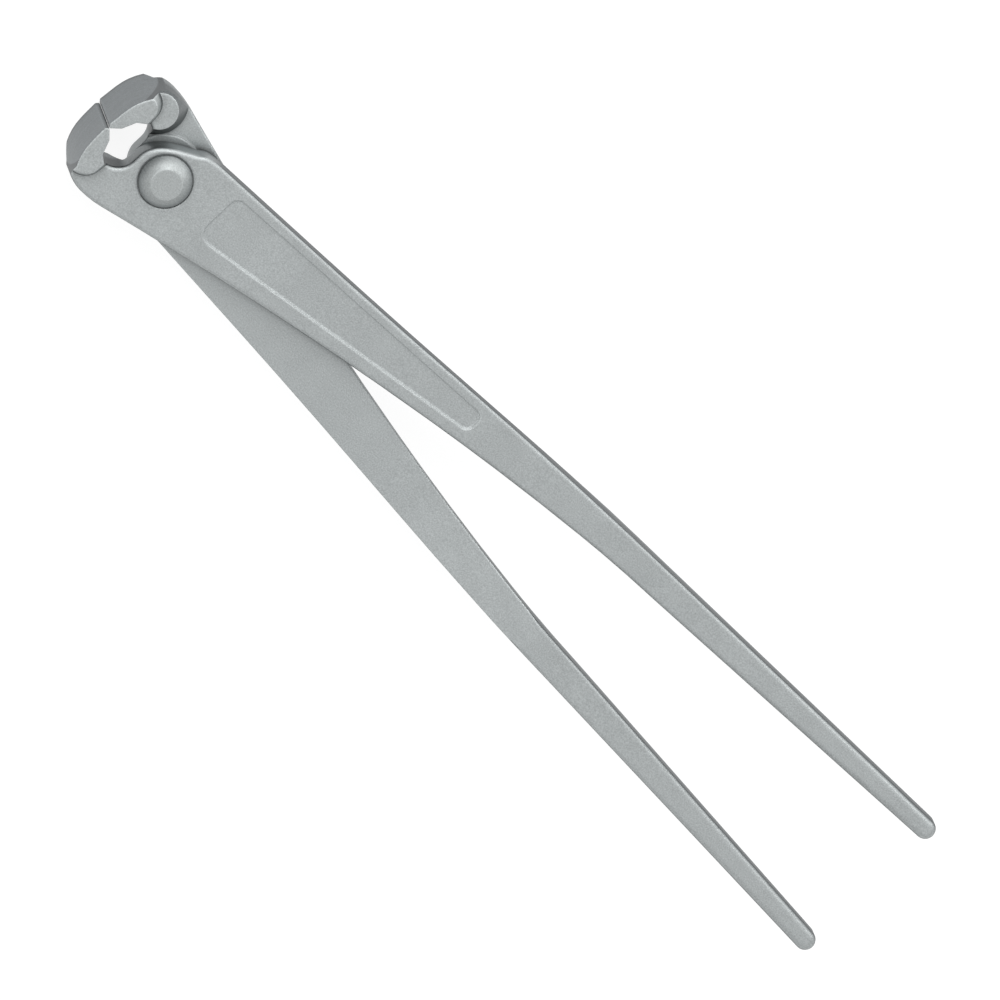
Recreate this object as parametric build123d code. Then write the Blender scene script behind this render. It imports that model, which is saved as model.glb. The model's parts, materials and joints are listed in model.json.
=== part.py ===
# Rebar tying pliers: a pair of forged end-cutting nippers with long plain handles.
# Millimetres. X runs along the tool to the jaws, Y across it and Z along the joint rivet.
# The arms are one forging used twice: the rear arm is turned half a turn about X. Their end faces are
# ground together, a little out of square, so the grinding leans forwards on the front arm and back on the rear.

import os
from math import acos, atan2, cos, degrees, radians, sin, sqrt, tan

from build123d import *

# Overall sizes
overall_length = 300.0
head_reach = 23.2
head_half_width = 17.75
jaw_width = 24.0
joint_thickness = 14.0
tip_spread = 43.5
overrun = 2.5

# Joint rivet, its bore and its seat in each arm
shank_diameter = 9.0
rivet_head_diameter = 14.1
rivet_flat_diameter = 8.4
rivet_head_height = 3.3
rivet_dome_radius = 8.27
bore_clearance = 0.05
end_clearance = 0.05
seat_diameter = 15.0
seat_depth = 0.35

# Half-lap faces
lap_clearance = 0.1
land_diameter = 21.6
land_height = 0.4
lap_length = 108.0
lap_bend_radius = 250.0
lap_run_out_angle = 5.4

# Jaw
edge_gap = 0.2
edge_setback = 0.65
edge_bevel_width = 0.75
edge_land = 0.3
throat_radius = 5.8
throat_end_angle = 166.0
lobe_radius = 3.5
lobe_draft = 21.0
lobe_middle_angle = 140.0
lobe_turn_angle = 85.0
lobe_turn_radius = 1.5
lobe_tail_angle = 42.0
flank_turn_radius = 30.0
flank_corner_radius = 12.0
flank_corner_angle = 22.0
shoulder_radius = 5.0
shoulder_draft = 25.0
shoulder_front_width = 7.2
grinding_lean_share = 0.02

# Plate and handle
arm_edge_radius = 1.0
face_slope = 0.93
face_bend_radius = 400.0
tip_width = 5.6
tip_thickness = 8.1
tip_edge_radius = 1.9

# Recessed panel on the front arm
panel_depth = 0.35
panel_wall_angle = 50.0
panel_start = 16.5
panel_length = 90.7
panel_offset = 10.8
panel_lean = 3.3
panel_head_width = 15.4
panel_tip_width = 6.2
panel_outer_radius = 2.8
panel_inner_radius = 4.0
panel_tip_radius = 2.6

# Places in the head's plan, as shares of head_reach along X and of head_half_width along Y
bite_wall_shares = ((0.862, 0.126), (0.793, 0.344), (0.697, 0.440))
throat_centre_shares = (0.671, 0.123)
lobe_centre_shares = (0.854, 0.570)
shoulder_centre_shares = (0.645, 0.676)
flank_turn_shares = (0.278, 0.948)
ground_curve_shares = ((0.772, 0.958), (0.901, 0.721), (0.963, 0.518), (0.990, 0.282))
rim_shares = ((0.419, -0.045), (0.214, -0.413), (-0.0641, -0.626))
rim_end_shares = (-0.397, -0.746)
flank_middle_shares = (-1.599, 0.374)
slope_start_share = 0.600

# Places along the handle's plan, as shares of handle_reach along -X and of half the tip spread along -Y
outer_line_end_shares = (0.1626, 0.6911)
outer_bend_shares = (0.3432, 0.8276)
taper_outer_shares = (0.6322, 0.9980)
plate_inner_shares = (0.3559, 0.2253)
inner_bend_shares = (0.5419, 0.5356)
taper_inner_shares = (0.6322, 0.6170)

handle_reach = overall_length - head_reach
tip_offset = tip_spread / 2
plate_half = joint_thickness / 2
jaw_half = jaw_width / 2
land_face = lap_clearance / 2
relief_face = land_face + land_height
blank_reach = head_reach + overrun
square_angle = 90.0
half_turn = 180.0


def head_point(shares):
    return (shares[0] * head_reach, shares[1] * head_half_width)


def handle_point(shares):
    return (-shares[0] * handle_reach, -shares[1] * tip_offset)


def polar(centre, radius, angle):
    return (centre[0] + radius * cos(radians(angle)), centre[1] + radius * sin(radians(angle)))


def slab(face, low, high):
    """A prism of a plan face between two heights."""
    return extrude(Pos(0, 0, low) * face, amount=high - low)


def flank_and_handle():
    """The plan's two long sides, from the rim to the taper and from the taper to the blank end."""
    rim_end = head_point(rim_end_shares)
    outer_line = Line(rim_end, handle_point(outer_line_end_shares))
    outer_bend = TangentArc(outer_line @ 1, handle_point(outer_bend_shares), tangent=outer_line % 1)
    outer_return = TangentArc(outer_bend @ 1, handle_point(taper_outer_shares), tangent=outer_bend % 1)
    flank = ThreePointArc(
        handle_point(plate_inner_shares), head_point(flank_middle_shares), head_point(flank_turn_shares)
    )
    inner_bend = TangentArc(flank @ 0, handle_point(inner_bend_shares), tangent=(flank % 0) * -1)
    inner_return = TangentArc(inner_bend @ 1, handle_point(taper_inner_shares), tangent=inner_bend % 1)
    way = flank % 1
    turn = JernArc(flank @ 1, way, flank_turn_radius, -degrees(atan2(way.Y, way.X)))
    corner = JernArc(turn @ 1, (1, 0), flank_corner_radius, -flank_corner_angle)
    corner_way = corner % 1
    run = (blank_reach - (corner @ 1).X) / corner_way.X
    blank_side = Line(corner @ 1, corner @ 1 + corner_way * run)
    end = Line(outer_return @ 1, inner_return @ 1)
    outer = [outer_line, outer_bend, outer_return, end]
    return outer + [inner_return, inner_bend, flank, turn, corner, blank_side]


def arm_outline():
    """Plan of the arm up to the taper: throat, rim round the rivet, both long sides and the jaw's blank end."""
    throat = head_point(throat_centre_shares)
    throat_top = (throat[0], throat[1] + throat_radius)
    throat_end = polar(throat, throat_radius, throat_end_angle)
    throat_middle = polar(throat, throat_radius, (square_angle + throat_end_angle) / 2)
    throat_way = Vector(-sin(radians(throat_end_angle)), cos(radians(throat_end_angle)))
    sides = flank_and_handle()
    rim = Spline(
        throat_end,
        *[head_point(shares) for shares in rim_shares],
        sides[0] @ 0,
        tangents=(throat_way, sides[0] % 0),
    )
    blank_corner = sides[-1] @ 1
    edges = [
        Line((blank_reach, throat_top[1]), throat_top),
        ThreePointArc(throat_top, throat_middle, throat_end),
        rim,
        *sides,
        Line(blank_corner, (blank_reach, throat_top[1])),
    ]
    return make_face(edges)


def side_profile():
    """Side view of the forging up to the taper: level at the joint, then both faces slope in."""
    head_end = blank_reach + overrun
    start = -slope_start_share * head_reach
    end = -taper_outer_shares[0] * handle_reach
    end_half = plate_half - (start - end) * tan(radians(face_slope))
    upper = FilletPolyline(
        (head_end, plate_half), (start, plate_half), (end, end_half), radius=face_bend_radius
    )
    lower = mirror(upper, about=Plane.XZ)
    ends = [Line(upper @ 0, lower @ 0), Line(upper @ 1, lower @ 1)]
    return make_face(upper.edges() + lower.edges() + ends)


def forging():
    """The arm from the jaw's blank end to the taper before the lap is milled, with its long edges rounded."""
    blank = slab(arm_outline(), -joint_thickness, joint_thickness)
    body = blank & extrude(Plane.XZ * side_profile(), amount=2 * head_half_width, both=True)
    faces = body.faces().sort_by(Axis.X)
    end_edges = faces[0].edges() + faces[-1].edges()
    long_edges = [edge for edge in body.edges().filter_by(Axis.Z, reverse=True) if edge not in end_edges]
    return fillet(long_edges, arm_edge_radius)


def lobe_outline():
    """Plan of the lobe's top: cutting edge, bite wall, round back and the side that runs in to the end face."""
    edge_x = head_reach - edge_setback - edge_land
    edge_y = edge_gap / 2
    centre = head_point(lobe_centre_shares)
    wall = Polyline((edge_x, edge_y), *[head_point(shares) for shares in bite_wall_shares])
    gap = wall @ 1 - Vector(*centre)
    side_angle = degrees(atan2(gap.Y, gap.X) - acos(lobe_radius / gap.length)) + 2 * half_turn
    side = polar(centre, lobe_radius, side_angle)
    back = ThreePointArc(
        side, polar(centre, lobe_radius, lobe_middle_angle), polar(centre, lobe_radius, lobe_turn_angle)
    )
    turn = JernArc(back @ 1, back % 1, lobe_turn_radius, square_angle - lobe_turn_angle - lobe_tail_angle)
    run = (blank_reach - (turn @ 1).X) / (turn % 1).X
    tail = Line(turn @ 1, turn @ 1 + (turn % 1) * run)
    return make_face(
        [
            Line((blank_reach, edge_y), (edge_x, edge_y)),
            *wall.edges(),
            Line(wall @ 1, side),
            back,
            turn,
            tail,
            Line(tail @ 1, (blank_reach, edge_y)),
        ]
    )


def lobe():
    """The full-width part of the jaw that carries the cutting edge, drafted where it stands on the plate."""
    outline = lobe_outline()
    plate_height = jaw_half - plate_half + arm_edge_radius
    lap_height = jaw_half + relief_face
    flanks = extrude(Pos(0, 0, jaw_half) * outline, amount=-plate_height, taper=-lobe_draft)
    flanks += extrude(Pos(0, 0, -jaw_half) * outline, amount=lap_height, taper=-lobe_draft)
    return slab(outline, -jaw_half, jaw_half) + (flanks & slab(arm_outline(), -jaw_half, jaw_half))


def shoulder_face(radius):
    """A round face that runs on under the lobe to the jaw's blank end."""
    centre = head_point(shoulder_centre_shares)
    length = blank_reach - centre[0]
    width = shoulder_front_width + 2 * (radius - shoulder_radius)
    front = Pos(centre[0] + length / 2, centre[1] - radius + width / 2) * Rectangle(length, width)
    return Pos(*centre) * Circle(radius) + front


def shoulder():
    """The drafted shoulder that carries the jaw past the lap, with stock below it."""
    foot_radius = shoulder_radius + (plate_half + relief_face) * tan(radians(shoulder_draft))
    cone = loft(
        [
            Pos(0, 0, -plate_half) * shoulder_face(shoulder_radius),
            Pos(0, 0, relief_face) * shoulder_face(foot_radius),
        ],
        ruled=True,
    )
    return cone + slab(shoulder_face(shoulder_radius), -joint_thickness, -plate_half)


def lap_cut():
    """The stock milled off the rear to seat the other arm, round the shoulder and the land at the bore."""
    head_end = blank_reach + overrun
    floor = -joint_thickness
    run_out = (relief_face - floor) / tan(radians(lap_run_out_angle))
    milled = FilletPolyline(
        (head_end, relief_face), (-lap_length, relief_face), (-lap_length - run_out, floor), radius=lap_bend_radius
    )
    rest = Polyline(milled @ 1, (head_end, floor), milled @ 0)
    stock = extrude(Plane.XZ * make_face(milled.edges() + rest.edges()), amount=2 * head_half_width, both=True)
    land = slab(Circle(land_diameter / 2), land_face, relief_face + overrun)
    return stock - shoulder() - land


def grinding_cut(lean):
    """The stock ground off the end face, which may lean forwards, and off the bevel beside the edge."""
    bevel_start = (head_reach - edge_setback, edge_gap / 2)
    bevel_end = (head_reach, edge_gap / 2 + edge_bevel_width)
    square_points = [Vector(*head_point(shares)) for shares in ground_curve_shares]
    curve_points = [point + Vector(lean * point.Y, 0) for point in square_points]
    far = blank_reach + overrun
    curve = Spline(*curve_points, bevel_end)
    start = curve_points[0]
    run_out = start - (curve % 0) * (2 * overrun)
    outline = make_face(
        [
            curve,
            Line(bevel_end, bevel_start),
            Line(bevel_start, (bevel_start[0], -overrun)),
            Line((bevel_start[0], -overrun), (far, -overrun)),
            Line((far, -overrun), (far, run_out.Y)),
            Line((far, run_out.Y), run_out),
            Line(run_out, start),
        ]
    )
    return slab(outline, -jaw_width, jaw_width)


def tapered_end(forged_body):
    """The straight tapered end of the handle, from the forging's end face to the rounded tip."""
    root = forged_body.faces().sort_by(Axis.X)[0]
    tip_centre = Vector(-(handle_reach - tip_width / 2), -tip_offset, 0)
    root_centre = root.center()
    way = Vector(tip_centre.X - root_centre.X, tip_centre.Y - root_centre.Y, 0).normalized()
    end_plane = Plane(origin=tip_centre, x_dir=(-way.Y, way.X, 0), z_dir=way)
    section = end_plane * RectangleRounded(tip_width, tip_thickness, tip_edge_radius)
    taper = loft([root, section], ruled=True)
    nose = Pos(tip_centre) * Cylinder(tip_width / 2, tip_thickness)
    nose = fillet(nose.edges().filter_by(GeomType.CIRCLE), tip_edge_radius)
    return taper + split(nose, bisect_by=end_plane, keep=Keep.TOP)


def panel_cut():
    """A shallow panel with sloping walls in the front face, rounded where the handle narrows."""
    slope = tan(radians(face_slope))
    end_x = -panel_start - panel_length
    end_y = -panel_offset - panel_length * tan(radians(panel_lean))
    corners = [
        (-panel_start, -panel_offset),
        (-panel_start, panel_head_width - panel_offset),
        (end_x, end_y + panel_tip_width),
        (end_x, end_y),
    ]
    outline = make_face(Polyline(*corners, close=True).edges())
    head_corners = outline.vertices().group_by(Axis.X)[-1].sort_by(Axis.Y)
    outline = fillet(head_corners[0], panel_outer_radius)
    outline = fillet(outline.vertices().sort_by(Axis.Y)[-1], panel_inner_radius)
    outline = fillet(outline.vertices().group_by(Axis.X)[0], panel_tip_radius)
    level = plate_half + slope_start_share * head_reach * slope
    plane = Plane(origin=(0, 0, level), x_dir=(1, 0, slope), z_dir=(-slope, 0, 1))
    recess = extrude(plane * outline, amount=-panel_depth, taper=panel_wall_angle)
    return recess + extrude(plane * outline, amount=overrun)


def bore_cut():
    """The rivet's bore, and the shallow seat of its head in the front face."""
    bore = Cylinder(shank_diameter / 2 + bore_clearance, 2 * joint_thickness)
    seat_floor = plate_half - seat_depth
    seat = slab(Circle(seat_diameter / 2), seat_floor, seat_floor + overrun)
    return bore + seat


def milled_arm():
    """One forging with its handle along -X, its jaw towards +Y and its outside face up, before grinding."""
    body = forging()
    taper = tapered_end(body)
    return body - lap_cut() + lobe() + taper - bore_cut()


def joint_rivet():
    """The joint pin, with a domed head cut flat on top at both ends."""
    underside = plate_half - seat_depth + end_clearance
    top = plate_half + rivet_head_height
    dome_centre = top - sqrt(rivet_dome_radius**2 - (rivet_flat_diameter / 2) ** 2)
    head = slab(Circle(rivet_head_diameter / 2), underside, top) & Pos(0, 0, dome_centre) * Sphere(rivet_dome_radius)
    shank = slab(Circle(shank_diameter / 2), -underside, underside)
    return shank + head + mirror(head, about=Plane.XY)


if __name__ == "__main__":
    os.makedirs("parts", exist_ok=True)
    place = Pos(handle_reach - overall_length / 2, 0, jaw_half)
    arm = milled_arm()
    nodes = {
        "front_arm": arm - grinding_cut(grinding_lean_share) - panel_cut(),
        "rear_arm": Rot(half_turn, 0, 0) * (arm - grinding_cut(-grinding_lean_share)),
        "joint_rivet": joint_rivet(),
    }
    for name, body in nodes.items():
        export_step(place * body, f"parts/{name}.step")
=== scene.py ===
# Rebar tying pliers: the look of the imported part, on a plain pale floor.
# Metres, in the part's own frame, where no other unit is named.

import json

import bpy
from mathutils import Matrix, Vector


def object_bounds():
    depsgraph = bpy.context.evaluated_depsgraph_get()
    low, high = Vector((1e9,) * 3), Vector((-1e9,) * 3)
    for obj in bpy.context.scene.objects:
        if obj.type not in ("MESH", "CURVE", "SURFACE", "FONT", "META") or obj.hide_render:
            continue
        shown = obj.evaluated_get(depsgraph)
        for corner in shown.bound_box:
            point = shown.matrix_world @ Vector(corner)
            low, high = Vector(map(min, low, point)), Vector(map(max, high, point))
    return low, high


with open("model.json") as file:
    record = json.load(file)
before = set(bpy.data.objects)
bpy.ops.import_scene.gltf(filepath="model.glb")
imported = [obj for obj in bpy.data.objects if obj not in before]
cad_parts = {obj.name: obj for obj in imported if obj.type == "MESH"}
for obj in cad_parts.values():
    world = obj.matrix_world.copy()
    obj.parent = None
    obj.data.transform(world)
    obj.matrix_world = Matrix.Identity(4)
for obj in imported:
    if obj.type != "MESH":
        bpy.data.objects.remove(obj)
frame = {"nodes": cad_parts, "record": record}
cad_low, cad_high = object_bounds()
nodes = frame["nodes"]
record = frame["record"]

# Places in the part
pivot = Vector(record["behaviour"]["joints"][0]["pos_m"])
jaw_bottom = cad_low.z
jaw_middle = (cad_low.z + cad_high.z) / 2

# Flats: between these shares of looking straight up or down, a face goes from a side's painted tone to a
# flat's
flat_facing = (0.22, 0.86)

# Heights off the middle of the jaws: a side turns from its lower, lighter painted reflection to its upper
# painted shade between the first two, and what stands out past the plates takes the flats' tone between the
# other two, above and below
side_turn = (-0.0035, 0.0005)
plate_rise, flat_tone_rise = 0.00705, 0.0095

# The rim round the rivet, which gets painted light instead of the sides' painted shade: how squarely it faces
# outward, and how far from the rivet's axis it reaches
rim_facing = (0.35, 0.85)
rim_reach, rim_reach_blur = 0.0145, 0.002

# Times this, a direction keeps only its level part
level_part = (1.0, 1.0, 0.0)

# The end faces ground at the jaws: how far past the rivet a facet's middle lies at least, how far the facet
# faces forward at least, and how far up or down at most
ground_face_reach = 0.0165
ground_face_slope = 0.30
ground_face_rise = 0.20

# The bent line where the grinding ends: how far to the side it is at the middle of the jaws, how it slants
# and bends with height, and how soft it is
ground_limit = 0.01564
ground_limit_slant = 0.164
ground_limit_bend = 14.7
ground_limit_blur = 0.0002

# The camera: its axes, scale and place, fitted to the photograph, its lens, and how near and far it sees
picture_pixels = 1000.0
pixels_per_mm = 3.8114
mm_per_metre = 1000
camera_right = (-0.67443, -0.72913, 0.1162)
camera_up = (0.68043, -0.67489, -0.28554)
pivot_pixel = (162.4, 173.85)
lens_mm = 1500.0
sensor_mm = 36.0
near_clip = 0.1
far_clip_distances = 3

# Steel: the blasted flats, painted shade and a lighter painted reflection on the forged upright sides, painted
# light on the rim round the rivet, the ground end faces and the rivet
white = (1.0, 1.0, 1.0)
steel_colour = (0.452, 0.478, 0.48)
# Painted shade on the upright sides' upper part, and a lighter painted reflection of the floor on their lower
# part
side_painted_shade_colour = (0.082, 0.091, 0.095)
side_painted_reflection_colour = (0.20, 0.216, 0.22)
# Painted light on the upright rim round the rivet
rim_painted_light_colour = (0.34, 0.362, 0.367)
# Painted shade on the forged side past the ground end faces
forged_painted_shade_colour = (0.085, 0.094, 0.098)
ground_colour = (0.175, 0.192, 0.2)
rivet_colour = (0.445, 0.47, 0.47)
# Milder painted shade on the rivet's sides
rivet_side_painted_shade_colour = (0.36, 0.38, 0.375)

# Finishes and painted shade: how rough, how deep the grain is, and the share of the colour that the painted
# shade leaves in narrow places
arm_painted_shade_share = 0.56
arm_finish_and_shade = {"roughness": 0.46, "grain_depth": 0.00006, "painted_shade_share": arm_painted_shade_share}
ground_finish_and_shade = {"roughness": 0.42, "grain_depth": 0.00002, "painted_shade_share": arm_painted_shade_share}
rivet_finish_and_shade = {"roughness": 0.52, "grain_depth": 0.00004, "painted_shade_share": 0.80}

# Grain: how fine it is, marks on it with shares of the colour, and how strongly it stands out
grain_scale = 2600.0
grain_shades = ((0.25, 0.80), (0.75, 1.16))
grain_bump = 0.55

# Mottle: how fine and broken up it is, marks on it with shares of the colour, and with changes of roughness
mottle_scale = 90.0
mottle_detail = 6.0
mottle_rough = 0.65
mottle_shades = ((0.30, 0.95), (0.70, 1.04))
mottle_gloss = ((0.25, -0.03), (0.75, 0.04))

# Scratches: how fine they are, how they are drawn out along Y, and marks on them with shares of the colour
scratch_scale = 900.0
scratch_stretch = (1.0, 0.03, 1.0)
scratch_shades = ((0.30, 0.93), (0.70, 1.06))

# Painted shade in narrow places: how far off a neighbour counts, and how open a place is where the painted
# shade is darkest and where it ends
painted_shade_reach = 0.003
painted_shade_samples = 12
painted_shade_shut, painted_shade_open = 0.60, 0.94

# Painted highlight along edges: the radius of their rounding in the shading, the highlight's brightness, and
# how like the rounded and the true normal are there and elsewhere
edge_round = 0.0008
edge_samples = 4
edge_painted_highlight = 1.5
edge_turned, edge_flat = 0.86, 0.995

# Room: the direction of its light, and how strong it is at the dark end and at the bright one
light_way = (0.45, -0.55, 0.70)
room_dark, room_bright = 0.56, 1.01

# Floor: half its width, how far under the pliers it lies, its grey, and how strongly it glows where seen
floor_half = 8.0
floor_drop = 0.0002
floor_grey = 0.2
floor_glow = 0.87

# Lamps: name, place, side of the square, and watts
softboxes = (
    ("key", (0.55, -0.70, 0.85), 0.80, 5.0),
    ("side", (-0.35, -1.10, 0.38), 0.50, 1.7),
)


def empty_tree(owner):
    """The node tree of a new material or world, with nothing in it."""
    owner.use_nodes = True
    owner.node_tree.nodes.clear()
    return owner.node_tree


def plug(tree, socket, value):
    """Links another node's output to a socket, or sets the socket to a constant."""
    if isinstance(value, bpy.types.NodeSocket):
        tree.links.new(value, socket)
    else:
        socket.default_value = value


def add_node(tree, kind, inputs):
    """A new node, with an output or a constant for each input that is given by name or number."""
    node = tree.nodes.new(kind)
    for name, value in inputs.items():
        plug(tree, node.inputs[name], value)
    return node


def reckoned(tree, kind, operation, terms):
    """The outputs of a reckoning with terms that are outputs or constants."""
    node = tree.nodes.new(kind)
    node.operation = operation
    for socket, term in zip(node.inputs, terms):
        plug(tree, socket, term)
    return node.outputs


def number(tree, operation, *terms):
    """A number out of one number or two."""
    return reckoned(tree, "ShaderNodeMath", operation, terms)["Value"]


def vector(tree, operation, *terms):
    """A vector out of one vector or two."""
    return reckoned(tree, "ShaderNodeVectorMath", operation, terms)["Vector"]


def measure(tree, operation, *terms):
    """A number out of one vector or two: a length or a dot product."""
    return reckoned(tree, "ShaderNodeVectorMath", operation, terms)["Value"]


def axis(tree, source, name):
    """One number of a vector."""
    return add_node(tree, "ShaderNodeSeparateXYZ", {"Vector": source}).outputs[name]


def noise(tree, place, scale, detail=2.0, rough=0.5):
    """The grey of a cloudy noise at a place."""
    inputs = {"Vector": place, "Scale": scale, "Detail": detail, "Roughness": rough}
    return add_node(tree, "ShaderNodeTexNoise", inputs).outputs["Fac"]


def smooth_step(tree, value, low, high):
    """None below the low mark and full above the high one, with a smooth rise between them."""
    node = add_node(tree, "ShaderNodeMapRange", {"Value": value, "From Min": low, "From Max": high})
    node.interpolation_type = "SMOOTHSTEP"
    return node.outputs["Result"]


def blurred_step(tree, value, mark, blur):
    """None well below the mark and full well above it."""
    return smooth_step(tree, value, mark - blur, mark + blur)


def tint(colour, share=1.0):
    """A share of a colour, for a colour socket."""
    return (*[channel * share for channel in colour], 1.0)


def shades(tree, value, low, high, colour=white):
    """Shades of a colour between two marks on a value, each given with its share of the colour."""
    node = add_node(tree, "ShaderNodeValToRGB", {"Fac": value})
    for element, (mark, share) in zip(node.color_ramp.elements, (low, high)):
        element.position = mark
        element.color = tint(colour, share)
    return node.outputs["Color"]


def mixed(tree, kind, share, first, second):
    """A mix of two colours by a share. Each of the three is an output or a constant."""
    node = tree.nodes.new("ShaderNodeMix")
    node.data_type = "RGBA"
    node.blend_type = kind
    sockets = {entry.name: entry for entry in node.inputs if entry.enabled}
    for name, value in (("Factor", share), ("A", first), ("B", second)):
        plug(tree, sockets[name], value)
    return [entry for entry in node.outputs if entry.enabled][0]


def off_middle(tree, coordinates):
    """Height above or below the middle of the jaws."""
    return number(tree, "SUBTRACT", axis(tree, coordinates["Object"], "Z"), jaw_middle)


def flat_tone(tree, coordinates):
    """Full on the flats and well above or below the plates, and none on the plates' upright sides, which get
    painted shade.
    """
    rise = number(tree, "ABSOLUTE", axis(tree, coordinates["Normal"], "Z"))
    flat = smooth_step(tree, rise, *flat_facing)
    far = number(tree, "ABSOLUTE", off_middle(tree, coordinates))
    beyond = smooth_step(tree, far, plate_rise, flat_tone_rise)
    return number(tree, "MAXIMUM", flat, beyond)


def rim_painted_light_mask(tree, coordinates):
    """Full on the upright rim round the rivet, which gets painted light, and none on sides that face it or lie
    far off.
    """
    away = vector(tree, "SUBTRACT", coordinates["Object"], pivot)
    level = vector(tree, "MULTIPLY", away, level_part)
    outward = vector(tree, "NORMALIZE", level)
    facing = measure(tree, "DOT_PRODUCT", outward, coordinates["Normal"])
    rim = smooth_step(tree, facing, *rim_facing)
    far = blurred_step(tree, measure(tree, "LENGTH", level), rim_reach, rim_reach_blur)
    return number(tree, "MULTIPLY", rim, number(tree, "SUBTRACT", 1.0, far))


def beyond_grinding(tree, coordinates):
    """Full past the bent line where the grinding of the end face runs out into the forged side, which gets
    painted shade.
    """
    side = number(tree, "ABSOLUTE", axis(tree, coordinates["Object"], "Y"))
    height = off_middle(tree, coordinates)
    bend = number(tree, "MULTIPLY", height, ground_limit_bend)
    slope = number(tree, "ADD", bend, ground_limit_slant)
    place = number(tree, "ADD", side, number(tree, "MULTIPLY", height, slope))
    return blurred_step(tree, place, ground_limit, ground_limit_blur)


def finished_and_shaded(tree, coordinates, shade, roughness, grain_depth, painted_shade_share):
    """Gives a shade of steel its fine grain and mottle, painted shade in narrow places, a painted highlight
    along edges, and satin gloss.
    """
    grain = noise(tree, coordinates["Object"], grain_scale)
    mottle = noise(tree, coordinates["Object"], mottle_scale, mottle_detail, mottle_rough)
    openness = add_node(tree, "ShaderNodeAmbientOcclusion", {"Distance": painted_shade_reach})
    openness.samples = painted_shade_samples
    rounded = add_node(tree, "ShaderNodeBevel", {"Radius": edge_round})
    rounded.samples = edge_samples
    true_normal = tree.nodes.new("ShaderNodeNewGeometry").outputs["Normal"]
    likeness = measure(tree, "DOT_PRODUCT", rounded.outputs["Normal"], true_normal)
    layers = (
        shades(tree, mottle, *mottle_shades),
        shades(tree, grain, *grain_shades),
        # Painted shade in narrow places
        shades(tree, openness.outputs["AO"], (painted_shade_shut, painted_shade_share), (painted_shade_open, 1.0)),
        # Painted highlight along edges
        shades(tree, likeness, (edge_turned, edge_painted_highlight), (edge_flat, 1.0)),
    )
    for layer in layers:
        shade = mixed(tree, "MULTIPLY", 1.0, shade, layer)
    gloss = [(mark, roughness + change) for mark, change in mottle_gloss]
    bump_inputs = {
        "Strength": grain_bump,
        "Distance": grain_depth,
        "Height": grain,
        "Normal": rounded.outputs["Normal"],
    }
    steel_inputs = {
        "Metallic": 1.0,
        "Base Color": shade,
        "Roughness": shades(tree, mottle, *gloss),
        "Normal": add_node(tree, "ShaderNodeBump", bump_inputs).outputs["Normal"],
    }
    steel = add_node(tree, "ShaderNodeBsdfPrincipled", steel_inputs)
    add_node(tree, "ShaderNodeOutputMaterial", {"Surface": steel.outputs["BSDF"]})


def blasted_steel(name, colour, painted_lower_side_colour, painted_upper_side_colour, finish_and_shade):
    """Bead-blasted forged steel: light flats, upright sides with painted shade above and a lighter painted
    reflection below, and painted light on the rim round the rivet.
    """
    material = bpy.data.materials.new(name)
    tree = empty_tree(material)
    coordinates = tree.nodes.new("ShaderNodeTexCoord").outputs
    above = smooth_step(tree, off_middle(tree, coordinates), *side_turn)
    # Sides: a lighter painted reflection below, painted shade above, and painted light on the rim round the
    # rivet
    side = mixed(tree, "MIX", above, tint(painted_lower_side_colour), tint(painted_upper_side_colour))
    side = mixed(tree, "MIX", rim_painted_light_mask(tree, coordinates), side, tint(rim_painted_light_colour))
    shade = mixed(tree, "MIX", flat_tone(tree, coordinates), side, tint(colour))
    finished_and_shaded(tree, coordinates, shade, **finish_and_shade)
    return material


def ground_end(name, colour, finish_and_shade):
    """The smooth grey of the ground end faces, faintly scratched, and painted shade on the forged side past
    their limit.
    """
    material = bpy.data.materials.new(name)
    tree = empty_tree(material)
    coordinates = tree.nodes.new("ShaderNodeTexCoord").outputs
    along = {"Vector": coordinates["Object"], "Scale": scratch_stretch}
    stretched = add_node(tree, "ShaderNodeMapping", along).outputs["Vector"]
    scratches = noise(tree, stretched, scratch_scale)
    lines = shades(tree, scratches, *scratch_shades, colour)
    # Painted shade on the forged side past the grinding limit
    shade = mixed(tree, "MIX", beyond_grinding(tree, coordinates), lines, tint(forged_painted_shade_colour))
    finished_and_shaded(tree, coordinates, shade, **finish_and_shade)
    return material


def dress(node, *steels):
    """Gives a piece its steels. The first of them covers it."""
    node.data.materials.clear()
    for steel in steels:
        node.data.materials.append(steel)


def mark_ground_face(arm):
    """Gives the end face ground at the arm's jaw the second of the arm's steels."""
    for polygon in arm.data.polygons:
        reach = polygon.center.x - pivot.x
        at_end = reach > ground_face_reach and polygon.normal.x > ground_face_slope
        upright = abs(polygon.normal.z) < ground_face_rise
        polygon.material_index = 1 if at_end and upright else 0


def make_floor():
    """A plain pale floor that keeps the pliers' shadow and is white to the camera and in reflections."""
    mesh = bpy.data.meshes.new("floor")
    signs = ((-1, -1), (1, -1), (1, 1), (-1, 1))
    corners = [(x * floor_half, y * floor_half, 0) for x, y in signs]
    mesh.from_pydata(corners, [], [(0, 1, 2, 3)])
    floor = bpy.data.objects.new("floor", mesh)
    floor.location.z = jaw_bottom - floor_drop
    bpy.context.scene.collection.objects.link(floor)
    material = bpy.data.materials.new("floor_white")
    tree = empty_tree(material)
    path = tree.nodes.new("ShaderNodeLightPath").outputs
    seen = number(tree, "MAXIMUM", path["Is Camera Ray"], path["Is Glossy Ray"])
    seen = number(tree, "MAXIMUM", seen, path["Is Transmission Ray"])
    strength = number(tree, "MULTIPLY", seen, floor_glow)
    glow = add_node(tree, "ShaderNodeEmission", {"Color": tint(white), "Strength": strength})
    diffuse = add_node(tree, "ShaderNodeBsdfDiffuse", {"Color": tint(white, floor_grey)})
    parts = {0: diffuse.outputs["BSDF"], 1: glow.outputs["Emission"]}
    both = add_node(tree, "ShaderNodeAddShader", parts)
    add_node(tree, "ShaderNodeOutputMaterial", {"Surface": both.outputs["Shader"]})
    mesh.materials.append(material)


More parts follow.
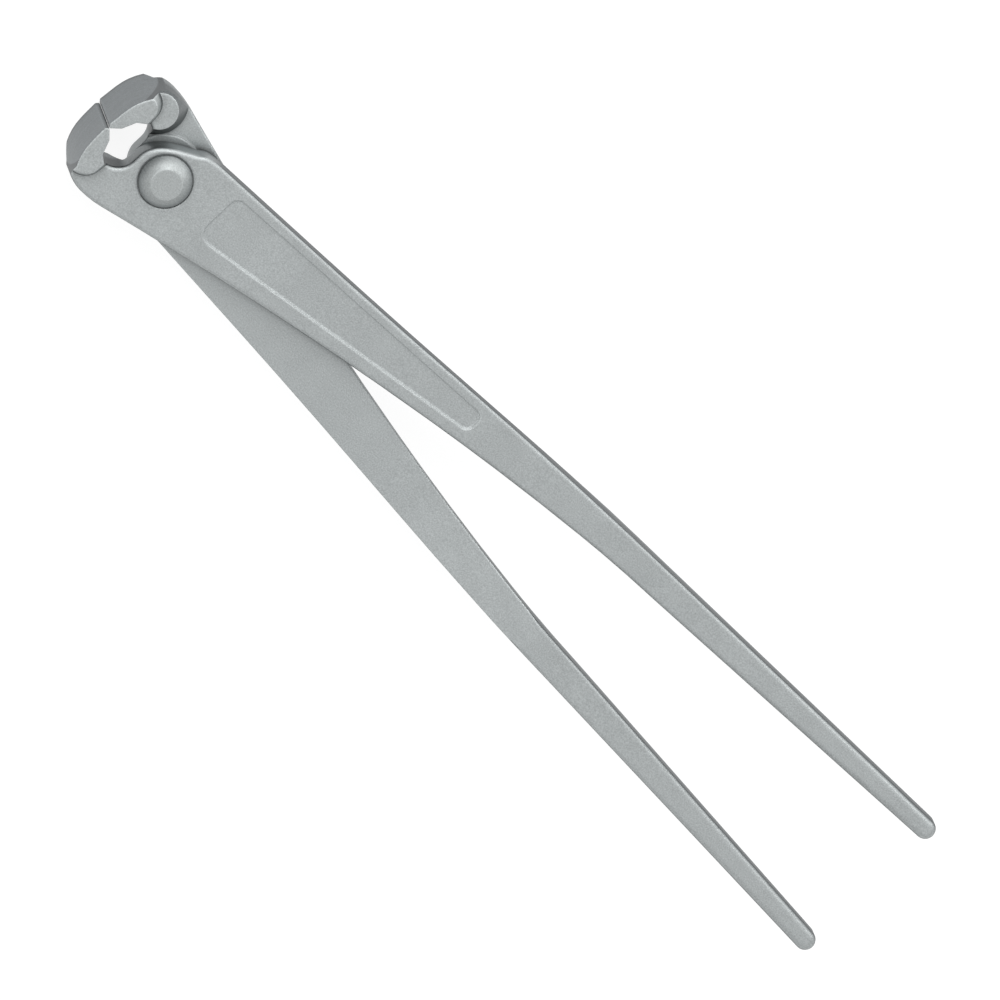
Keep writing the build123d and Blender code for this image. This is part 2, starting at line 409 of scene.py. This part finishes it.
def make_world():
    """A soft white room, brighter above and on the side that the light comes from."""
    world = bpy.data.worlds.new("room")
    tree = empty_tree(world)
    way = tree.nodes.new("ShaderNodeTexCoord").outputs["Generated"]
    towards = measure(tree, "DOT_PRODUCT", way, Vector(light_way).normalized())
    ends = {"Value": towards, "From Min": -1.0, "To Min": room_dark, "To Max": room_bright}
    level = add_node(tree, "ShaderNodeMapRange", ends).outputs["Result"]
    light = add_node(tree, "ShaderNodeBackground", {"Color": tint(white), "Strength": level})
    add_node(tree, "ShaderNodeOutputWorld", {"Surface": light.outputs["Background"]})
    bpy.context.scene.world = world


def make_softbox(name, place, size, watts):
    """A square soft lamp that faces the middle of the pliers."""
    data = bpy.data.lights.new(name, "AREA")
    data.shape = "SQUARE"
    data.size = size
    data.energy = watts
    lamp = bpy.data.objects.new(name, data)
    lamp.location = place
    middle = (cad_low + cad_high) / 2
    lamp.rotation_mode = "QUATERNION"
    lamp.rotation_quaternion = (middle - Vector(place)).to_track_quat("-Z", "Y")
    bpy.context.scene.collection.objects.link(lamp)


def in_metres(pixels):
    """A length in the photograph, at the pliers."""
    return pixels / pixels_per_mm / mm_per_metre


def make_camera():
    """The photograph's viewing angle, from far enough that its lines run nearly parallel."""
    right = Vector(camera_right).normalized()
    up = Vector(camera_up)
    up = (up - right * up.dot(right)).normalized()
    back = right.cross(up)
    across = in_metres(picture_pixels / 2 - pivot_pixel[0])
    down = in_metres(picture_pixels / 2 - pivot_pixel[1])
    distance = in_metres(lens_mm / sensor_mm * picture_pixels)
    data = bpy.data.cameras.new("camera")
    data.lens = lens_mm
    data.sensor_width = sensor_mm
    data.clip_start = near_clip
    data.clip_end = far_clip_distances * distance
    camera = bpy.data.objects.new("camera", data)
    axes = Matrix((right, up, back)).transposed().to_4x4()
    place = pivot + right * across - up * down + back * distance
    camera.matrix_world = Matrix.Translation(place) @ axes
    bpy.context.scene.collection.objects.link(camera)
    bpy.context.scene.camera = camera


arm_steel = blasted_steel("arm_steel", steel_colour, side_painted_reflection_colour, side_painted_shade_colour, arm_finish_and_shade)
ground_steel = ground_end("ground_steel", ground_colour, ground_finish_and_shade)
rivet_steel = blasted_steel(
    "rivet_steel", rivet_colour, rivet_side_painted_shade_colour, rivet_side_painted_shade_colour, rivet_finish_and_shade
)
for name in ("front_arm", "rear_arm"):
    dress(nodes[name], arm_steel, ground_steel)
    mark_ground_face(nodes[name])
dress(nodes["joint_rivet"], rivet_steel)

make_floor()
make_world()
for softbox in softboxes:
    make_softbox(*softbox)
make_camera()
bpy.context.scene.view_settings.view_transform = "Standard"
